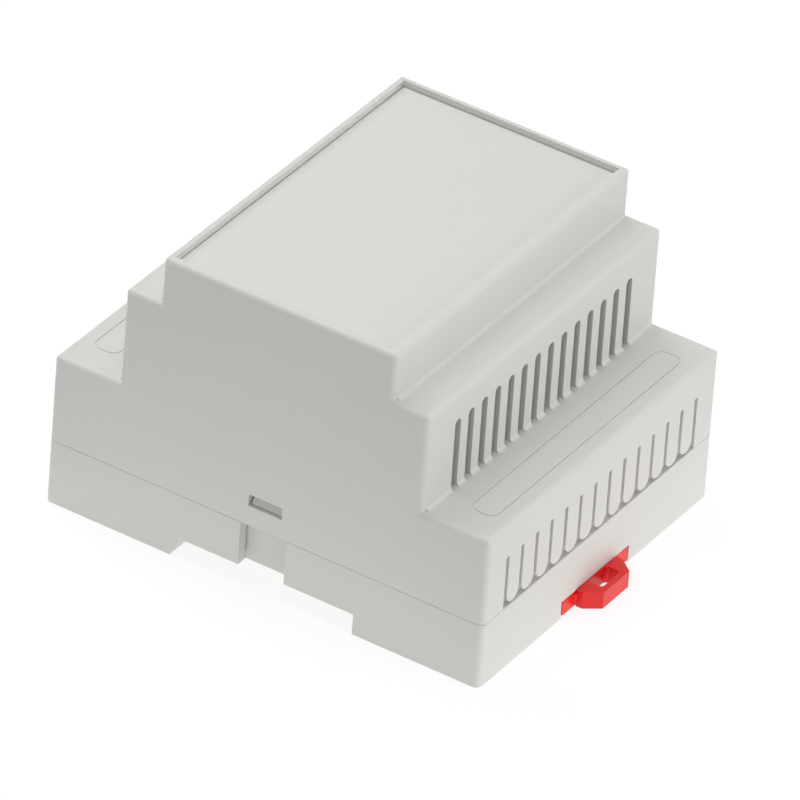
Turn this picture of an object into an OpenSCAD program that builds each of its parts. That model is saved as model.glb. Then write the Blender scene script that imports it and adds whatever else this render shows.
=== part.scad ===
// Stepped plastic enclosure for a circuit, made to clip on a 35 mm top-hat rail.
// X runs across the rail, Y along it and Z away from it. The origin is the centre of the
// face that seats on the rail. All sizes are millimetres.

/* [Overall size] */
// Length of the foot, across the rail
body_l = 87.5; // [80:0.5:100]
// Width along the rail, four modules of 18 mm
body_w = 72; // [54:0.5:108]
// Height over the feet
body_h = 58; // [56:0.5:66]

/* [Steps] */
// Height of the lower shoulders over the feet
shoulder_z = 29.7; // [28:0.1:32]
// Length of the block between the lower and the upper shoulders
riser_l = 60.7; // [56:0.1:64]
// Height of the upper shoulders over the feet
ledge_z = 48.8; // [47:0.1:50]
// Length of the nose that stands through a distribution board's cover
nose_l = 46.5; // [44:0.1:48]
// Lean of the long sides that lets the part leave its mould, in degrees
draft = 0.5; // [0:0.1:1]

/* [Shell] */
// Wall thickness
wall = 2; // [1.6:0.1:2.4]
// Radius of the edges round the top of each step
edge_r = 1.1; // [0.6:0.1:1.4]
// Radius of the upright corners
corner_r = 1.2; // [0.8:0.1:1.6]
// Radius of the hollow at the foot of each step
cove_r = 0.8; // [0.4:0.1:1.2]
// Height of the joint between base and cover over the feet
parting_z = 12.7; // [11:0.1:13]
// Width of the fine groove that marks the joint
seam_w = 0.1; // [0.05:0.05:0.3]
// Height of the base's inner lip over the joint
lip_h = 2; // [1.5:0.1:3]
// Thickness of the inner lip
lip_t = 1.2; // [0.8:0.1:1.5]
// Clearance between parts that push together
fit_gap = 0.15; // [0.1:0.05:0.25]

/* [Rail seat] */
// Width of the rail
rail_w = 35; // [35:0.1:35.2]
// Thickness of the rail's flange
rail_t = 1; // [1:0.1:1.5]
// Play of the rail between the two feet
rail_play = 0.2; // [0.1:0.05:0.4]
// Offset of the rail towards the clip
rail_offset = 1; // [0:0.1:1.5]
// Depth of the rail recess between the feet
rail_depth = 4; // [3.8:0.1:4.5]
// Slant at the mouth of the recess, opposite the clip
mouth_slant = 1.6; // [1:0.1:2]
// Width of each fixed hook
hook_w = 12; // [8:0.5:14]
// Distance between the middles of the two fixed hooks
hook_spacing = 40; // [32:0.5:44]
// Reach of a hook or of the clip under the rail's edge
hook_reach = 1.6; // [1.2:0.1:2]

/* [Ventilation slots] */
// Distance from slot to slot
slot_pitch = 4.07; // [3.6:0.01:5]
// Width of a slot
slot_w = 1.8; // [1.4:0.1:2.2]
// Height of the slots' round tops over the feet
slot_top_z = 43.5; // [38:0.1:45]
// Least plain wall beyond the last slot
slot_margin = 7; // [6:0.1:12]

/* [Break-out tongues] */
// Distance from tongue to tongue
tongue_pitch = 4.52; // [4:0.01:5.5]
// Width of the groove between two tongues
tongue_groove = 0.95; // [0.6:0.05:1.2]
// Depth of the grooves in the wall
groove_depth = 1.1; // [0.6:0.05:1.3]
// Height of the grooves' upper ends over the feet
groove_top_z = 23.2; // [20:0.1:25]
// Gap under a tongue's round end
tongue_lift = 0.5; // [0.2:0.05:0.6]
// Least plain wall beyond the last groove
tongue_margin = 6; // [5:0.1:10]

/* [Shoulder marking] */
// Width across the rail of the area marked on each lower shoulder
mark_l = 5.2; // [4:0.1:7]
// Gap between the marked area and the riser
mark_gap = 4.9; // [3:0.1:6]
// Plain shoulder beyond each end of the marked area
mark_margin = 6.3; // [5:0.1:9]
// Corner radius of the marked area
mark_r = 2; // [1:0.1:2.4]
// Width of the marking groove
mark_w = 0.25; // [0.2:0.05:0.5]
// Depth of the marking groove
mark_depth = 0.15; // [0.1:0.05:0.4]

/* [Snap tabs] */
// Width of the notch in the base's end wall
notch_w = 9.2; // [8:0.1:12]
// Width of the tab behind the notch
tab_w = 11.2; // [10.5:0.1:14]
// Thickness of the tab
tab_t = 1.8; // [1.4:0.1:2]
// Gap between the tab and the cover's wall
tab_gap = 0.4; // [0.3:0.05:0.6]
// Width of the window in the cover's end wall
window_w = 6.7; // [5:0.1:8]
// Height of the window's lower edge over the feet
window_z = 16.5; // [16:0.1:18]
// Height of the window
window_h = 2.35; // [2:0.05:3]
// Distance from the outer face in to the tooth's tip
tooth_inset = 0.7; // [0.4:0.05:1]

/* [Front panel] */
// Width of the rim round the panel
rim_w = 1.5; // [1.2:0.1:2]
// Height of the rim over the panel
rim_h = 1.2; // [0.8:0.1:1.6]
// Thickness of the panel
panel_t = 2; // [1.6:0.1:2.4]
// Width of the ledge that carries the panel
ledge_w = 2; // [1.5:0.1:2.5]
// Thickness of that ledge
ledge_t = 1.6; // [1.2:0.1:2]
// Width of each of the panel's snap hooks
snap_w = 6; // [4:0.5:8]
// Distance between the two snap hooks of one side
snap_spacing = 40; // [30:0.5:44]

/* [Rail clip] */
// Width of the clip
clip_w = 20.6; // [18:0.1:24]
// Thickness of the clip's plate
clip_t = 1.85; // [1.6:0.05:2]
// Height of the clip's channel over the feet
channel_h = 2.9; // [2.7:0.05:3]
// Side clearance of the clip in its channel
slide_gap = 0.3; // [0.2:0.05:0.4]
// How far the clip pulls out
clip_travel = 3; // [2:0.1:4]
// Width of the middle tongue that holds the rail
latch_w = 13; // [11:0.1:14]
// Width of each side finger
finger_w = 1.2; // [1:0.1:1.5]
// Length of the outer bar that carries tongue and fingers
bar_l = 2.5; // [2:0.1:3]
// Height of the bar's top over the feet
bar_top = 3.3; // [3:0.05:3.5]
// Radius of the bar's rounded ends
bar_r = 0.6; // [0.3:0.1:0.6]
// Reach of the pull tab beyond the wall
pull_reach = 4.2; // [3.5:0.1:6]
// Width of the pull tab's outer edge
pull_tip_w = 8; // [6:0.1:10]
// Width of the pull tab at the wall
pull_root_w = 12.4; // [11:0.1:14]
// Thickness of the pull tab
pull_t = 3.3; // [2.5:0.1:3.5]
// Width of the screwdriver slot in the pull tab, along the wall
key_w = 5.8; // [5:0.1:7]
// Thickness of the pull tab's outer edge beyond the screwdriver slot
key_edge = 1.1; // [1:0.1:1.6]

/* [Board fittings] */
// Outer diameter of a board post
post_d = 5.6; // [5:0.1:7]
// Diameter of a post's pilot hole
pilot_d = 2.2; // [1.8:0.1:2.8]
// Height of the posts over the feet
post_z = 10; // [8:0.1:11]
// Distance between posts across the rail
post_spacing_x = 70; // [66:0.5:72]
// Distance from the middle of a post to the end face
post_inset = 9; // [8:0.5:14]
// Distance between the two board guides of an end wall
guide_spacing = 24; // [20:0.5:28]
// Width of a guide's slot
guide_slot = 1.8; // [1.6:0.1:2.2]
// Thickness and height of a guide's ribs over the wall
guide_rib = 1.4; // [1:0.1:1.6]

/* [Hidden] */
$fn = 48;

shell_grey = [0.82, 0.82, 0.8];
panel_grey = [0.85, 0.85, 0.83];
clip_red = [0.8, 0.1, 0.1];

// Side points of a rounded corner, and a length that cuts clean through a face
arc_steps = 6;
over = 1;

// The two feet and the space between them
hook_wall_x = rail_offset - rail_w / 2 - rail_play / 2;
latch_wall_x = rail_offset + rail_w / 2 + rail_play / 2;
rail_under_z = rail_depth - rail_t;
hook_tip_x = hook_wall_x + rail_play / 2 + hook_reach;
nose_tip_x = latch_wall_x - rail_play / 2 - hook_reach;
floor_top = rail_depth + wall;
foot_floor = bar_top + 1.2;
hook_top = rail_under_z - 0.2;
hook_low = 0.6;
tilt_pocket = 1.3;
seat_relief = 0.5;
relief_gap = 0.3;

// Rim, panel and their ledge
panel_top = body_h - rim_h;
panel_under = panel_top - panel_t;
ledge_under = panel_under - ledge_t;
rim_in_l = nose_l - 2 * lean(body_h - ledge_z) - 2 * rim_w;
rim_in_w = body_w - 2 * rim_w;
panel_hole_l = rim_in_l - 2 * ledge_w;
panel_hole_w = rim_in_w - 2 * ledge_w;

// Snap tab and tooth
tab_face_y = body_w / 2 - wall - tab_gap;
tooth_w = window_w - 0.6;
tooth_top = window_z + window_h - 0.15;
tab_top = window_z + window_h + 0.8;

// Clip and its channel
clip_top = channel_h - fit_gap;
clip_low = clip_top - clip_t;
guide_lip_t = clip_low - fit_gap;
guide_lip_w = 1.2;
wide_from_x = latch_wall_x + 7.4;
finger_from_x = wide_from_x + 0.8;
clip_out_x = body_l / 2 - 0.05;
bar_x = clip_out_x - bar_l;
barb_l = 1.6;
barb_reach = 0.8;
channel_rib = 2;
pull_low = 0.3;

// Distance that a leaning side moves in over a height
function lean(h) = h * tan(draft);

// Points of a quarter circle that starts in direction a
function quarter(x, z, r, a) =
    [for (i = [0 : arc_steps]) [x + r * cos(a + i * 90 / arc_steps), z + r * sin(a + i * 90 / arc_steps)]];

// Section of a step, from z0 to z1, with round upper edges
function step_section(half, z0, z1, r) = concat(
    [[-half, z0], [half, z0]],
    quarter(half - lean(z1 - z0) - r, z1 - r, r, 0),
    quarter(-half + lean(z1 - z0) + r, z1 - r, r, 90)
);

// Evenly spaced places, centred, as many as fit in a span
function places(span, pitch) =
    let (n = floor(span / pitch + 0.001))
    [for (i = [0 : n]) (i - n / 2) * pitch];

// All parts are drawn over the feet and then set on the rail
module seated() translate([0, 0, -rail_depth]) children();

// Turns an XZ outline into a prism of a given width along Y, centred
module across(w) rotate([90, 0, 0]) linear_extrude(w, center = true) children();

// Turns a YZ outline into a prism that runs from x0 to x1
module along(x0, x1) translate([x0, 0, 0]) rotate([90, 0, 90]) linear_extrude(x1 - x0) children();

module both_sides() {
    children();
    mirror([1, 0, 0]) children();
}

module both_ends() {
    children();
    mirror([0, 1, 0]) children();
}

// Box given by two opposite corners
module block(a, b) translate(a) cube(b - a);

module rounded_rect(l, w, r) {
    square([l - 2 * r, w], center = true);
    square([l, w - 2 * r], center = true);
    for (x = [-1, 1], y = [-1, 1])
        translate([x * (l / 2 - r), y * (w / 2 - r)]) circle(r);
}

// One step of the casing: leaning long sides, upright ends, round corners and upper edges
module step(half, z0, z1, r) {
    h = z1 - z0;
    intersection() {
        union() {
            across(body_w - 2 * corner_r) polygon(step_section(half, z0, z1, r));
            across(body_w)
                polygon([
                    [-half + corner_r, z0],
                    [half - corner_r, z0],
                    [half - corner_r - lean(h), z1],
                    [-half + corner_r + lean(h), z1]
                ]);
            both_sides() both_ends()
                translate([half - corner_r, body_w / 2 - corner_r, z0])
                    rotate([0, -draft, 0])
                        translate([0, 0, -over])
                            cylinder(h = h + 2 * over, r = corner_r);
        }
        across(body_w + 2 * over) polygon(step_section(half, z0, z1, r));
        if (r > 0)
            along(-half - over, half + over)
                polygon(concat(
                    [[-body_w / 2, z0], [body_w / 2, z0]],
                    quarter(body_w / 2 - r, z1 - r, r, 0),
                    quarter(-body_w / 2 + r, z1 - r, r, 90)
                ));
    }
}

// Hollow fillet along the foot of a riser
module cove(x, z) both_sides()
    across(body_w - 2 * corner_r)
        translate([x, z])
            difference() {
                square(cove_r);
                translate([cove_r, cove_r]) circle(cove_r);
            }

// --- Base ---

module base_shell() {
    half = body_l / 2;
    difference() {
        union() {
            step(half, 0, parting_z - seam_w, 0);
            translate([0, 0, parting_z - wall])
                linear_extrude(wall)
                    rounded_rect(2 * (half - lean(parting_z) - seam_w), body_w - 2 * seam_w, corner_r);
        }
        // Recess for the rail, slanted at its mouth on the side of the fixed hooks
        across(body_w + 2 * over)
            polygon([
                [hook_wall_x - mouth_slant - 0.4, -over],
                [hook_wall_x - mouth_slant, 0],
                [hook_wall_x, rail_under_z + 0.2],
                [hook_wall_x, rail_depth],
                [latch_wall_x, rail_depth],
                [latch_wall_x, -over]
            ]);
        // Inside, with a floor that follows the rail recess
        across(body_w - 2 * wall)
            polygon([
                [-half + wall, foot_floor],
                [hook_wall_x - mouth_slant - wall, foot_floor],
                [hook_wall_x - mouth_slant - wall, floor_top],
                [latch_wall_x + wall, floor_top],
                [latch_wall_x + wall, foot_floor],
                [half - wall, foot_floor],
                [half - wall, parting_z + over],
                [-half + wall, parting_z + over]
            ]);
    }
}

// Hollows under the feet, which keep the walls even
module foot_hollows() {
    inner_x = clip_w / 2 + slide_gap + channel_rib;
    both_ends()
        block([latch_wall_x + wall, inner_x, -over],
              [body_l / 2 - wall, body_w / 2 - wall, channel_h]);
    both_ends()
        block([-body_l / 2 + wall, channel_rib / 2, -over],
              [hook_wall_x - mouth_slant - wall, body_w / 2 - wall, channel_h]);
}

// Space that the clip slides in, open below and outwards
module clip_channel() {
    wide = clip_w / 2 + slide_gap;
    narrow = latch_w / 2 + slide_gap;
    window_to = finger_from_x + barb_l + clip_travel + fit_gap;
    block([wide_from_x, -wide, -over], [body_l / 2 + over, wide, channel_h]);
    block([latch_wall_x - over, -narrow, -over], [wide_from_x + over, narrow, channel_h]);
    // Taller mouth for the bar
    block([bar_x - fit_gap, -wide, -over], [body_l / 2 + over, wide, bar_top + fit_gap]);
    // Pockets that the fingers' barbs travel in
    block([finger_from_x - fit_gap, -wide - barb_reach - fit_gap, clip_low - fit_gap],
          [window_to, wide + barb_reach + fit_gap, channel_h]);
}

// Lips under the clip that keep it in its channel
module clip_lips() both_ends() {
    wide = clip_w / 2 + slide_gap;
    narrow = latch_w / 2 + slide_gap;
    block([wide_from_x, wide - guide_lip_w, 0],
          [bar_x - fit_gap, wide + 0.4, guide_lip_t]);
    block([latch_wall_x + 0.4, narrow - guide_lip_w, 0], [wide_from_x, narrow + 0.4, guide_lip_t]);
}

// Fixed hooks that reach under the rail's edge, opposite the clip
module fixed_hooks() both_ends()
    translate([0, hook_spacing / 2, 0])
        across(hook_w)
            polygon([
                [hook_wall_x - mouth_slant - wall / 2, hook_low],
                [hook_tip_x - 0.9, hook_low],
                [hook_tip_x, hook_low + 1],
                [hook_tip_x, hook_top],
                [hook_wall_x - mouth_slant - wall / 2, hook_top]
            ]);

// Relief of the seat over the hooks and the clip's nose, with room for the rail's edge to tilt in
module seat_pockets() {
    nose_y = latch_w / 2 + slide_gap;
    both_ends()
        translate([0, hook_spacing / 2, 0])
            block([hook_wall_x - tilt_pocket, -hook_w / 2 - 1, hook_top],
                  [hook_tip_x + relief_gap, hook_w / 2 + 1, rail_depth + seat_relief]);
    block([nose_tip_x - relief_gap, -nose_y, rail_under_z], [latch_wall_x, nose_y, rail_depth + seat_relief]);
}

// Upright lip inside the joint, which guides the cover on
module inner_lip() {
    lip_low = parting_z - 2;
    out_x = body_l / 2 - wall - lean(parting_z + lip_h) - fit_gap;
    out_y = body_w / 2 - wall - fit_gap;
    difference() {
        union() {
            block([-out_x, -out_y, lip_low], [out_x, out_y, parting_z + lip_h]);
            block([-body_l / 2 + wall / 2, -body_w / 2 + wall / 2, lip_low],
                  [body_l / 2 - wall / 2, body_w / 2 - wall / 2, parting_z - seam_w]);
        }
        block([-out_x + lip_t, -out_y + lip_t, lip_low - over],
              [out_x - lip_t, out_y - lip_t, parting_z + lip_h + over]);
        // The lip stops short of the snap tabs
        block([-tab_w / 2 - 1.4, -body_w / 2, lip_low - over],
              [tab_w / 2 + 1.4, body_w / 2, parting_z + lip_h + over]);
    }
}

// Springy tab of an end wall, with the tooth that snaps into the cover's window
module snap_tab() {
    both_ends()
        block([-tab_w / 2, tab_face_y - tab_t, rail_depth + wall / 2],
              [tab_w / 2, tab_face_y, tab_top]);
    both_ends()
        along(-tooth_w / 2, tooth_w / 2)
            polygon([
                [tab_face_y - 0.4, window_z + 0.1],
                [body_w / 2 - tooth_inset, window_z + 0.1],
                [body_w / 2 - tooth_inset, window_z + 0.5],
                [tab_face_y + 0.2, tooth_top],
                [tab_face_y - 0.4, tooth_top]
            ]);
}

module board_posts() both_sides() both_ends()
    translate([post_spacing_x / 2, body_w / 2 - post_inset, 0]) children();

module base() color(shell_grey) seated() {
    difference() {
        union() {
            difference() {
                union() {
                    base_shell();
                    inner_lip();
                }
                foot_hollows();
                clip_channel();
                seat_pockets();
                // Notches that bare the snap tabs
                both_ends()
                    block([-notch_w / 2, tab_face_y, rail_depth - over],
                          [notch_w / 2, body_w / 2 + over, parting_z + over]);
            }
            clip_lips();
            fixed_hooks();
            snap_tab();
            board_posts() translate([0, 0, foot_floor - 0.4])
                cylinder(h = post_z - foot_floor + 0.4, d = post_d);
        }
        board_posts() translate([0, 0, foot_floor]) cylinder(h = post_z, d = pilot_d);
    }
}

// --- Cover ---

module cover_shell() {
    lower = body_l / 2 - lean(parting_z);
    riser = riser_l / 2;
    nose = nose_l / 2;
    step(lower, parting_z, shoulder_z, edge_r);
    step(riser, shoulder_z - wall, ledge_z, edge_r);
    step(nose, ledge_z - wall, body_h, edge_r);
    cove(riser - lean(wall), shoulder_z);
    cove(nose - lean(wall), ledge_z);
}

module cover_inside() {
    low_x = body_l / 2 - lean(parting_z) - wall;
    low_top_x = body_l / 2 - lean(shoulder_z) - wall;
    riser_x = riser_l / 2 - wall;
    riser_top_x = riser_x - lean(ledge_z - shoulder_z);
    nose_x = nose_l / 2 - wall;
    half_section = [
        [low_x, parting_z - over],
        [low_x, parting_z],
        [low_top_x, shoulder_z - wall],
        [riser_x, shoulder_z - wall],
        [riser_top_x, ledge_z - wall],
        [nose_x, ledge_z - wall],
        [nose_x - lean(ledge_under - ledge_z), ledge_under]
    ];
    n = len(half_section);
    across(body_w - 2 * wall)
        polygon(concat(half_section, [for (i = [1 : n]) [-half_section[n - i][0], half_section[n - i][1]]]));
}

module panel_seat() {
    block([-rim_in_l / 2, -rim_in_w / 2, panel_under], [rim_in_l / 2, rim_in_w / 2, body_h + over]);
    block([-panel_hole_l / 2, -panel_hole_w / 2, ledge_under - over],
          [panel_hole_l / 2, panel_hole_w / 2, body_h]);
}

// Slots through both risers, with round tops, open down to the shoulder
module vent_slots() {
    for (y = places(body_w - 2 * slot_margin - slot_w, slot_pitch))
        translate([0, y, 0])
            along(-riser_l / 2 - over, riser_l / 2 + over) {
                translate([-slot_w / 2, shoulder_z])
                    square([slot_w, slot_top_z - slot_w / 2 - shoulder_z]);
                translate([0, slot_top_z - slot_w / 2]) circle(slot_w / 2);
            }
}

// Grooves that leave a row of tongues with round ends, ready to break out for wires
module tongue_grooves() {
    floor_x = body_l / 2 - lean((parting_z + groove_top_z) / 2) - groove_depth;
    grooves = places(body_w - 2 * tongue_margin - tongue_groove, tongue_pitch);
    last = grooves[len(grooves) - 1] + tongue_groove / 2;
    tongue_w = tongue_pitch - tongue_groove;
    end_z = parting_z + tongue_lift + tongue_w / 2;
    both_sides()
        along(floor_x, body_l / 2 + over)
            difference() {
                translate([-last, parting_z - over])
                    square([2 * last, groove_top_z - parting_z + over]);
                for (i = [1 : len(grooves) - 1])
                    translate([grooves[i] - tongue_pitch / 2, end_z]) {
                        circle(tongue_w / 2);
                        translate([-tongue_w / 2, 0]) square([tongue_w, groove_top_z]);
                    }
            }
}

// Fine outline on each lower shoulder, round the area over the terminals
module shoulder_marks() both_sides()
    translate([riser_l / 2 + mark_gap + mark_l / 2, 0, shoulder_z - mark_depth])
        linear_extrude(mark_depth + over)
            difference() {
                rounded_rect(mark_l, body_w - 2 * mark_margin, mark_r);
                rounded_rect(mark_l - 2 * mark_w, body_w - 2 * mark_margin - 2 * mark_w, mark_r - mark_w);
            }

// Pairs of upright ribs that a circuit board slides between
module board_guides() {
    both_sides() both_ends()
        for (side = [-1, 1])
            translate([guide_spacing / 2 + side * (guide_slot + guide_rib) / 2, 0, 0])
                block([-guide_rib / 2, body_w / 2 - wall - guide_rib, tab_top],
                      [guide_rib / 2, body_w / 2 - wall / 2, ledge_z - wall]);
}

module cover() color(shell_grey) seated() {
    difference() {
        cover_shell();
        cover_inside();
        panel_seat();
        vent_slots();
        tongue_grooves();
        shoulder_marks();
        both_ends()
            block([-window_w / 2, body_w / 2 - wall - over, window_z],
                  [window_w / 2, body_w / 2 + over, window_z + window_h]);
    }
    board_guides();
}

// --- Front panel ---

// Snap hook that reaches through the panel's opening and under the ledge
module panel_snap() {
    face_x = panel_hole_l / 2 - fit_gap;
    across(snap_w)
        polygon([
            [face_x - 1.2, panel_under + 0.3],
            [face_x, panel_under + 0.3],
            [face_x, ledge_under - fit_gap],
            [face_x + 0.6, ledge_under - fit_gap],
            [face_x + 0.6, ledge_under - 0.5],
            [face_x - 0.2, ledge_under - 1.6],
            [face_x - 1.2, ledge_under - 1.6]
        ]);
}

module front_panel() color(panel_grey) seated() {
    translate([0, 0, panel_under])
        linear_extrude(panel_t)
            rounded_rect(rim_in_l - 2 * fit_gap, rim_in_w - 2 * fit_gap, 0.4);
    both_sides() both_ends() translate([0, snap_spacing / 2, 0]) panel_snap();
}

// --- Rail clip ---

// Plan of the pull tab, from the bar's outer face to the tip
module pull_plan(from_x) {
    tip_x = body_l / 2 + pull_reach;
    polygon([
        [from_x, -pull_root_w / 2],
        [tip_x - 2.8, -pull_root_w / 2],
        [tip_x, -pull_tip_w / 2],
        [tip_x, pull_tip_w / 2],
        [tip_x - 2.8, pull_root_w / 2],
        [from_x, pull_root_w / 2]
    ]);
}

// Fillet between the bar and the pull tab's side
module pull_fillet() both_ends()
    translate([clip_out_x, pull_root_w / 2])
        difference() {
            square(0.5);
            translate([0.5, 0.5]) circle(0.5);
        }

module clip_plate() {
    bevel_x = nose_tip_x + 2.6;
    // Outer bar, middle tongue and side fingers
    along(bar_x, clip_out_x)
        translate([0, (pull_low + bar_top) / 2])
            rounded_rect(clip_w, bar_top - pull_low, bar_r);
    across(latch_w)
        polygon([
            [nose_tip_x, clip_top],
            [nose_tip_x, clip_top - 0.8],
            [bevel_x, clip_low],
            [bar_x + bar_l / 2, clip_low],
            [bar_x + bar_l / 2, clip_top]
        ]);
    both_ends() {
        block([finger_from_x, clip_w / 2 - finger_w, clip_low],
              [bar_x + bar_l / 2, clip_w / 2, clip_top]);
        translate([0, 0, clip_low])
            linear_extrude(clip_t)
                polygon([
                    [finger_from_x, clip_w / 2 - 0.2],
                    [finger_from_x + barb_l, clip_w / 2 - 0.2],
                    [finger_from_x + barb_l, clip_w / 2 + barb_reach],
                    [finger_from_x + barb_l / 2, clip_w / 2 + barb_reach]
                ]);
    }
}

module rail_clip() color(clip_red) seated() {
    wall_x = body_l / 2 + fit_gap;
    key_to_x = body_l / 2 + pull_reach - key_edge;
    key_from_x = wall_x + 0.1;
    difference() {
        union() {
            clip_plate();
            translate([0, 0, clip_low]) linear_extrude(clip_t) {
                pull_plan(clip_out_x);
                pull_fillet();
            }
            translate([0, 0, pull_low]) linear_extrude(pull_t) pull_plan(wall_x);
        }
        translate([(key_from_x + key_to_x) / 2, 0, pull_low - over])
            linear_extrude(pull_t + 2 * over)
                rounded_rect(key_to_x - key_from_x, key_w, 0.8);
    }
}

base();
cover();
front_panel();
rail_clip();
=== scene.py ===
import math

import bpy
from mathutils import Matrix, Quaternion, Vector


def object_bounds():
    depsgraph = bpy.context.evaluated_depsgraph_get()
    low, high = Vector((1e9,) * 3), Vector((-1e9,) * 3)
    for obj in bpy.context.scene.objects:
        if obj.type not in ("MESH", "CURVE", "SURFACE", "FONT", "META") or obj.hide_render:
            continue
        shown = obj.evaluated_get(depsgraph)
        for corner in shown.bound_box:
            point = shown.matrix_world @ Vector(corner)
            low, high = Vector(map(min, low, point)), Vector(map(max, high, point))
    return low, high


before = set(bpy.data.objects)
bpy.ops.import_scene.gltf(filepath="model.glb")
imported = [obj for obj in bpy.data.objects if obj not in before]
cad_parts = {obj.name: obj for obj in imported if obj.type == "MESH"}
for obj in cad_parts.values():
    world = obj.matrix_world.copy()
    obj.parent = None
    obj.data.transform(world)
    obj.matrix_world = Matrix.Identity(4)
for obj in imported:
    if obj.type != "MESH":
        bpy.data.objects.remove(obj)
cad_low, cad_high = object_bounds()

# --- Camera ---
# A long lens a good way off, which looks down on the end face, the vented long side and
# the front panel, and leans a little to one side.
azimuth = math.radians(30.73)
elevation = math.radians(34.43)
lean = math.radians(4.50)
distance = 1.795
lens_mm = 480.1
sensor_mm = 36
farthest_seen = 10
aim = Vector((0.0043, -0.0022, 0.0190))

backwards = Vector((
    math.sin(azimuth) * math.cos(elevation),
    -math.cos(azimuth) * math.cos(elevation),
    math.sin(elevation),
))
camera = bpy.data.objects.new("camera", bpy.data.cameras.new("camera"))
camera.data.lens = lens_mm
camera.data.sensor_width = sensor_mm
camera.data.clip_end = farthest_seen
camera.location = aim + backwards * distance
camera.rotation_mode = "QUATERNION"
camera.rotation_quaternion = (-backwards).to_track_quat("-Z", "Y") @ Quaternion((0, 0, 1), lean)
bpy.context.scene.collection.objects.link(camera)
bpy.context.scene.camera = camera


# --- Base and cover ---
# The two shells that snap together at the joint: injection-moulded ABS in light grey, with
# the fine even grain that a spark-eroded mould leaves and faint patches that shine a bit more.
clouds_per_metre = 45
sheen_per_metre = 140
plastic_ior = 1.52


def moulded_grain_group():
    """Colour, roughness and height of a moulded plastic skin."""
    group = bpy.data.node_groups.new("moulded_grain", "ShaderNodeTree")
    sockets = group.interface
    colour = sockets.new_socket(name="Colour", in_out="INPUT", socket_type="NodeSocketColor")
    colour.default_value = (0.8, 0.8, 0.8, 1)
    for name, value, low, high in (
        ("Cloudiness", 0.02, 0, 1),
        ("Grain per metre", 3000, 1, 20000),
        ("Roughness", 0.5, 0, 1),
        ("Roughness spread", 0.06, 0, 1),
    ):
        factor = sockets.new_socket(name=name, in_out="INPUT", socket_type="NodeSocketFloat")
        factor.default_value = value
        factor.min_value = low
        factor.max_value = high
    for name, kind in (("Colour", "Color"), ("Roughness", "Float"), ("Height", "Float")):
        sockets.new_socket(name=name, in_out="OUTPUT", socket_type="NodeSocket" + kind)
    nodes, links = group.nodes, group.links
    inputs = nodes.new("NodeGroupInput")
    outputs = nodes.new("NodeGroupOutput")
    place = nodes.new("ShaderNodeTexCoord")

    # Slow drift of the pigment over the whole moulding
    cloud = nodes.new("ShaderNodeTexNoise")
    cloud.inputs["Scale"].default_value = clouds_per_metre
    cloud.inputs["Detail"].default_value = 3
    links.new(place.outputs["Object"], cloud.inputs["Vector"])
    centred = nodes.new("ShaderNodeMath")
    centred.operation = "SUBTRACT"
    centred.inputs[1].default_value = 0.5
    links.new(cloud.outputs["Fac"], centred.inputs[0])
    shift = nodes.new("ShaderNodeMath")
    shift.operation = "MULTIPLY_ADD"
    shift.inputs[2].default_value = 1
    links.new(centred.outputs[0], shift.inputs[0])
    links.new(inputs.outputs["Cloudiness"], shift.inputs[1])
    tinted = nodes.new("ShaderNodeVectorMath")
    tinted.operation = "SCALE"
    links.new(inputs.outputs["Colour"], tinted.inputs[0])
    links.new(shift.outputs[0], tinted.inputs["Scale"])
    links.new(tinted.outputs[0], outputs.inputs["Colour"])

    # Fine grain of the mould
    grain = nodes.new("ShaderNodeTexNoise")
    grain.inputs["Detail"].default_value = 2
    grain.inputs["Roughness"].default_value = 0.6
    links.new(place.outputs["Object"], grain.inputs["Vector"])
    links.new(inputs.outputs["Grain per metre"], grain.inputs["Scale"])
    links.new(grain.outputs["Fac"], outputs.inputs["Height"])

    # Patches that shine a little more than the rest
    sheen = nodes.new("ShaderNodeTexNoise")
    sheen.inputs["Scale"].default_value = sheen_per_metre
    sheen.inputs["Detail"].default_value = 4
    links.new(place.outputs["Object"], sheen.inputs["Vector"])
    spread = nodes.new("ShaderNodeMath")
    spread.operation = "MULTIPLY_ADD"
    links.new(sheen.outputs["Fac"], spread.inputs[0])
    links.new(inputs.outputs["Roughness spread"], spread.inputs[1])
    links.new(inputs.outputs["Roughness"], spread.inputs[2])
    links.new(spread.outputs[0], outputs.inputs["Roughness"])
    return group


moulded_grain = moulded_grain_group()


def moulded_plastic(name, colour, roughness, spread, grain_size, grain_depth, cloudiness):
    """A Principled plastic with the grain of its mould."""
    material = bpy.data.materials.new(name)
    material.use_nodes = True
    nodes, links = material.node_tree.nodes, material.node_tree.links
    shader = nodes["Principled BSDF"]
    shader.inputs["IOR"].default_value = plastic_ior
    grain = nodes.new("ShaderNodeGroup")
    grain.node_tree = moulded_grain
    grain.inputs["Colour"].default_value = (*colour, 1)
    grain.inputs["Cloudiness"].default_value = cloudiness
    grain.inputs["Grain per metre"].default_value = 1 / grain_size
    grain.inputs["Roughness"].default_value = roughness
    grain.inputs["Roughness spread"].default_value = spread
    bump = nodes.new("ShaderNodeBump")
    bump.inputs["Distance"].default_value = grain_depth
    links.new(grain.outputs["Colour"], shader.inputs["Base Color"])
    links.new(grain.outputs["Roughness"], shader.inputs["Roughness"])
    links.new(grain.outputs["Height"], bump.inputs["Height"])
    links.new(bump.outputs["Normal"], shader.inputs["Normal"])
    return material


def finish_node(name, material):
    """Gives a CAD node its material."""
    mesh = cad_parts[name].data
    mesh.materials.clear()
    mesh.materials.append(material)


shell_grey = moulded_plastic(
    "shell_grey",
    colour=(0.706, 0.696, 0.663),
    roughness=0.42,
    spread=0.12,
    grain_size=0.00035,
    grain_depth=0.00001,
    cloudiness=0.03,
)
finish_node("base", shell_grey)
finish_node("cover", shell_grey)


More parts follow.
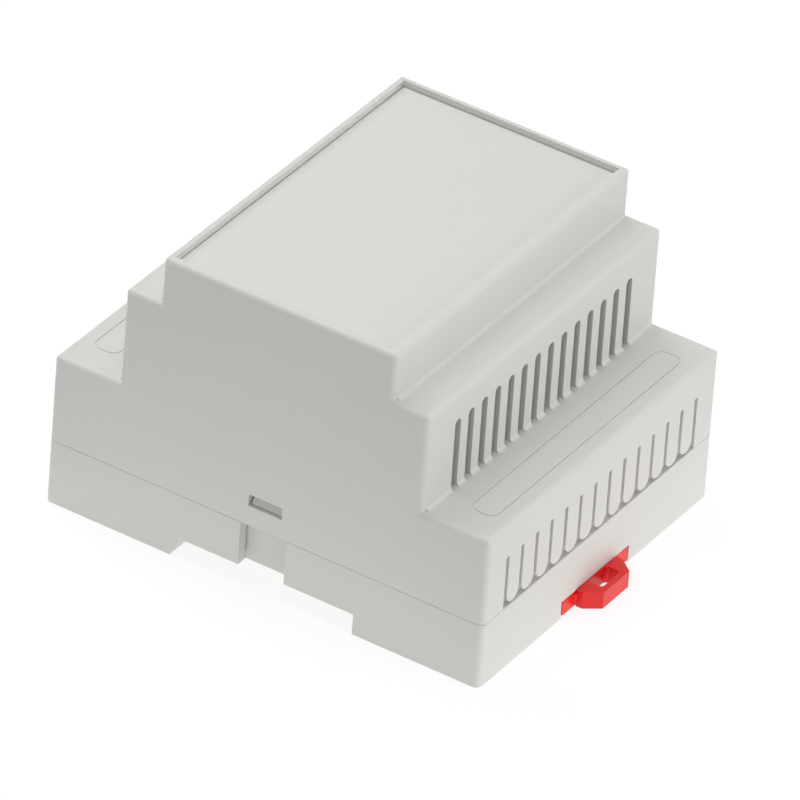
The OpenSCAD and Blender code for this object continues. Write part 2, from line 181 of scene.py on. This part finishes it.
# --- Front panel ---
# The flat plate snapped into the cover's rim, moulded in the same grey ABS, a shade lighter
# and with a slightly finer grain.
panel_grey = moulded_plastic(
    "panel_grey",
    colour=(0.721, 0.711, 0.678),
    roughness=0.42,
    spread=0.1,
    grain_size=0.0003,
    grain_depth=0.000008,
    cloudiness=0.02,
)
finish_node("front_panel", panel_grey)


# --- Rail clip ---
# The red slider that locks the enclosure on its rail, moulded in a tough smooth nylon with
# little grain. It is pushed into its channel under the foot, where its side fingers hold it.
clip_red = moulded_plastic(
    "clip_red",
    colour=(0.80, 0.008, 0.006),
    roughness=0.30,
    spread=0.1,
    grain_size=0.0006,
    grain_depth=0.000006,
    cloudiness=0.05,
)
finish_node("rail_clip", clip_red)


# --- Floor and backdrop ---
# A seamless white table that the enclosure stands on, lit from within and brightest in the
# middle. It throws light up on the walls, shows white, keeps a faint shadow, and is seen
# through from below.
floor_size = 3.0
floor_gap = 0.00005  # keeps the table and the feet out of one plane
table_white = 0.85
glow_strength = 0.45
glow_full_radius = 0.05
glow_end_radius = 0.115
shown_white = 0.25
shown_strength = 0.80

bpy.ops.mesh.primitive_plane_add(size=floor_size, location=(0, 0, cad_low.z - floor_gap))
floor = bpy.context.object
floor.name = "floor"

floor_white = bpy.data.materials.new("floor_white")
floor_white.use_nodes = True
floor_nodes, floor_links = floor_white.node_tree.nodes, floor_white.node_tree.links
floor_nodes.remove(floor_nodes["Principled BSDF"])


def seen_itself(nodes, links):
    """1 for rays that show the surface, directly, mirrored or through glass, and 0 for light."""
    rays = nodes.new("ShaderNodeLightPath")
    seen = rays.outputs["Is Camera Ray"]
    for ray in ("Is Transmission Ray", "Is Glossy Ray"):
        either = nodes.new("ShaderNodeMath")
        either.operation = "MAXIMUM"
        links.new(seen, either.inputs[0])
        links.new(rays.outputs[ray], either.inputs[1])
        seen = either.outputs[0]
    return seen


def mixed(nodes, links, factor, first, second):
    """The first shader where the factor is 0 and the second where it is 1."""
    mix = nodes.new("ShaderNodeMixShader")
    links.new(factor, mix.inputs[0])
    links.new(first.outputs[0], mix.inputs[1])
    links.new(second.outputs[0], mix.inputs[2])
    return mix


def glowing_white(white, strength):
    """A matt white that glows as well: the sum of the two, and the glow alone."""
    matt = floor_nodes.new("ShaderNodeBsdfDiffuse")
    matt.inputs["Color"].default_value = (white, white, white, 1)
    glow = floor_nodes.new("ShaderNodeEmission")
    glow.inputs["Color"].default_value = (1, 1, 1, 1)
    glow.inputs["Strength"].default_value = strength
    both = floor_nodes.new("ShaderNodeAddShader")
    floor_links.new(matt.outputs[0], both.inputs[0])
    floor_links.new(glow.outputs[0], both.inputs[1])
    return both, glow


# The table as it lights the walls: its glow fades out round the enclosure
lit_table, table_glow = glowing_white(table_white, glow_strength)
table_place = floor_nodes.new("ShaderNodeTexCoord")
table_radius = floor_nodes.new("ShaderNodeVectorMath")
table_radius.operation = "LENGTH"
table_fade = floor_nodes.new("ShaderNodeMapRange")
table_fade.interpolation_type = "SMOOTHSTEP"
table_fade.inputs["From Min"].default_value = glow_full_radius
table_fade.inputs["From Max"].default_value = glow_end_radius
table_fade.inputs["To Min"].default_value = glow_strength
table_fade.inputs["To Max"].default_value = 0
floor_links.new(table_place.outputs["Object"], table_radius.inputs[0])
floor_links.new(table_radius.outputs["Value"], table_fade.inputs["Value"])
floor_links.new(table_fade.outputs["Result"], table_glow.inputs["Strength"])

# The table as it shows: white, with a faint shadow, and nothing from below
shown_table = glowing_white(shown_white, shown_strength)[0]
table_side = floor_nodes.new("ShaderNodeNewGeometry")
from_below = floor_nodes.new("ShaderNodeBsdfTransparent")
from_above = mixed(
    floor_nodes, floor_links, seen_itself(floor_nodes, floor_links), lit_table, shown_table
)
either_side = mixed(
    floor_nodes, floor_links, table_side.outputs["Backfacing"], from_above, from_below
)
floor_links.new(either_side.outputs[0], floor_nodes["Material Output"].inputs["Surface"])
floor.data.materials.append(floor_white)

room_strength = 0.11
backdrop_strength = 1
world = bpy.data.worlds.new("studio")
bpy.context.scene.world = world
world.use_nodes = True
world_nodes, world_links = world.node_tree.nodes, world.node_tree.links
room = world_nodes["Background"]
room.inputs["Color"].default_value = (1, 1, 1, 1)
room.inputs["Strength"].default_value = room_strength
backdrop = world_nodes.new("ShaderNodeBackground")
backdrop.inputs["Color"].default_value = (1, 1, 1, 1)
backdrop.inputs["Strength"].default_value = backdrop_strength
world_mix = mixed(
    world_nodes, world_links, seen_itself(world_nodes, world_links), room, backdrop
)
world_links.new(world_mix.outputs[0], world_nodes["World Output"].inputs["Surface"])


# --- Lamps ---
# Broad softboxes overhead, over the far shoulder, low beside the vented side and low before
# the near corner, and a small one before the end face that draws a bright line along the edges.
def softbox(name, direction, away, size, power):
    """A square area lamp that looks at the middle of the enclosure."""
    lamp = bpy.data.objects.new(name, bpy.data.lights.new(name, "AREA"))
    lamp.data.size = size
    lamp.data.energy = power
    lamp.location = aim + Vector(direction).normalized() * away
    lamp.rotation_mode = "QUATERNION"
    lamp.rotation_quaternion = Vector(direction).to_track_quat("Z", "Y")
    bpy.context.scene.collection.objects.link(lamp)


softbox("top_softbox", (0, 0, 1), away=1.2, size=0.9, power=6.2)
softbox("lefttop_softbox", (-0.8, 0.2, 0.9), away=1.2, size=0.9, power=5.6)
softbox("right_softbox", (1.0, 0.3, 0.12), away=1.2, size=0.9, power=9.0)
softbox("front_softbox", (0.15, -0.9, 0.75), away=1.2, size=0.5, power=1.9)
softbox("frontright_softbox", (0.6, -0.9, 0.25), away=1.3, size=0.9, power=1.1)

bpy.context.scene.view_settings.view_transform = "Standard"
